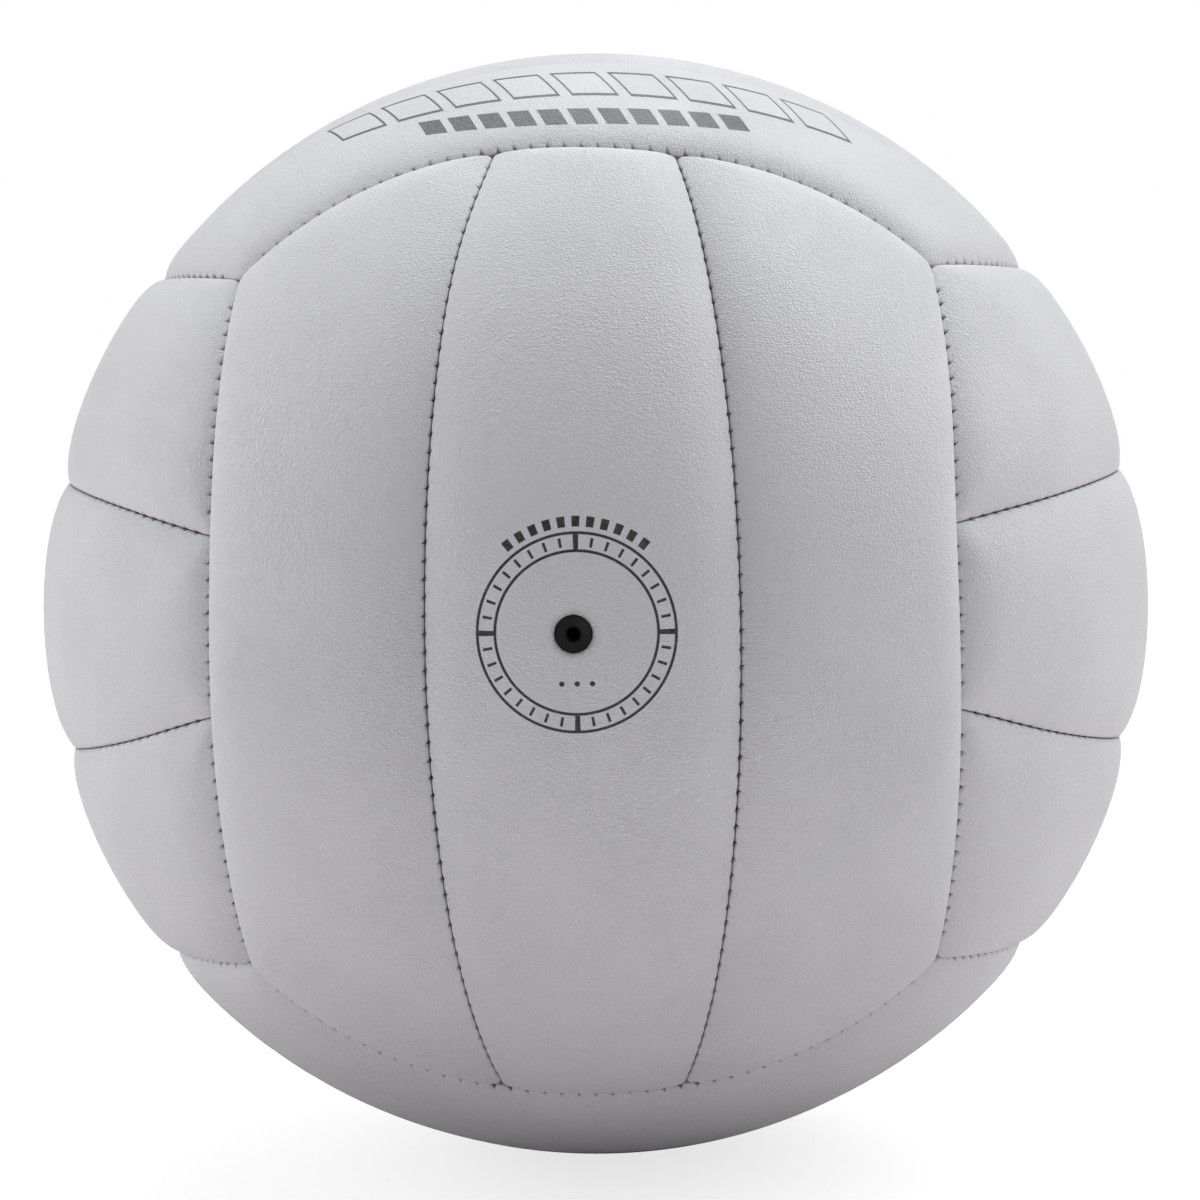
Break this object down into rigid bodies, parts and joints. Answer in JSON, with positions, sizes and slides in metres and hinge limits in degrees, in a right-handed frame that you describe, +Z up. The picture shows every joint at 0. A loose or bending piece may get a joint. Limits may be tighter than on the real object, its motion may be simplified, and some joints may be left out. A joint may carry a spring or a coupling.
{
  "type": "indoor volleyball",
  "caption": "Stitched indoor volleyball: padded white panels in groups of three strips round a rubber bladder with a needle valve.",
  "frame": {"origin": "centre of the ball", "axes": "-Y out of the valve, the front's three strips run along Z and stack along X, +Z up as in the picture"},
  "size_m": [0.21, 0.21, 0.21],
  "materials": {
    "leather": "white pebbled synthetic leather, soft satin",
    "foam": "closed-cell foam, matt",
    "lining": "woven cotton and polyester lining",
    "thread": "twisted polyester thread",
    "bladder": "butyl rubber, dull",
    "valve_rubber": "moulded rubber, dull",
    "patch": "stiffened cloth"
  },
  "bodies": {
    "root": {"front_left_panel": "leather", "front_centre_panel": "leather", "front_right_panel": "leather", "back_left_panel": "leather", "back_centre_panel": "leather", "back_right_panel": "leather", "left_lower_panel": "leather", "left_centre_panel": "leather", "left_upper_panel": "leather", "right_lower_panel": "leather", "right_centre_panel": "leather", "right_upper_panel": "leather", "top_front_panel": "leather", "top_centre_panel": "leather", "top_rear_panel": "leather", "bottom_front_panel": "leather", "bottom_centre_panel": "leather", "bottom_rear_panel": "leather", "front_left_foam": "foam", "front_centre_foam": "foam", "front_right_foam": "foam", "back_left_foam": "foam", "back_centre_foam": "foam", "back_right_foam": "foam", "left_lower_foam": "foam", "left_centre_foam": "foam", "left_upper_foam": "foam", "right_lower_foam": "foam", "right_centre_foam": "foam", "right_upper_foam": "foam", "top_front_foam": "foam", "top_centre_foam": "foam", "top_rear_foam": "foam", "bottom_front_foam": "foam", "bottom_centre_foam": "foam", "bottom_rear_foam": "foam", "front_lining": "lining", "back_lining": "lining", "left_lining": "lining", "right_lining": "lining", "top_lining": "lining", "bottom_lining": "lining", "front_strip_thread": "thread", "back_strip_thread": "thread", "left_strip_thread": "thread", "right_strip_thread": "thread", "top_strip_thread": "thread", "bottom_strip_thread": "thread", "front_border_thread": "thread", "back_border_thread": "thread", "left_border_thread": "thread", "right_border_thread": "thread", "top_border_thread": "thread", "bottom_border_thread": "thread", "bladder": "bladder", "valve_housing": "valve_rubber", "valve_core": "valve_rubber", "valve_patch": "patch"}
  },
  "joints": []
}
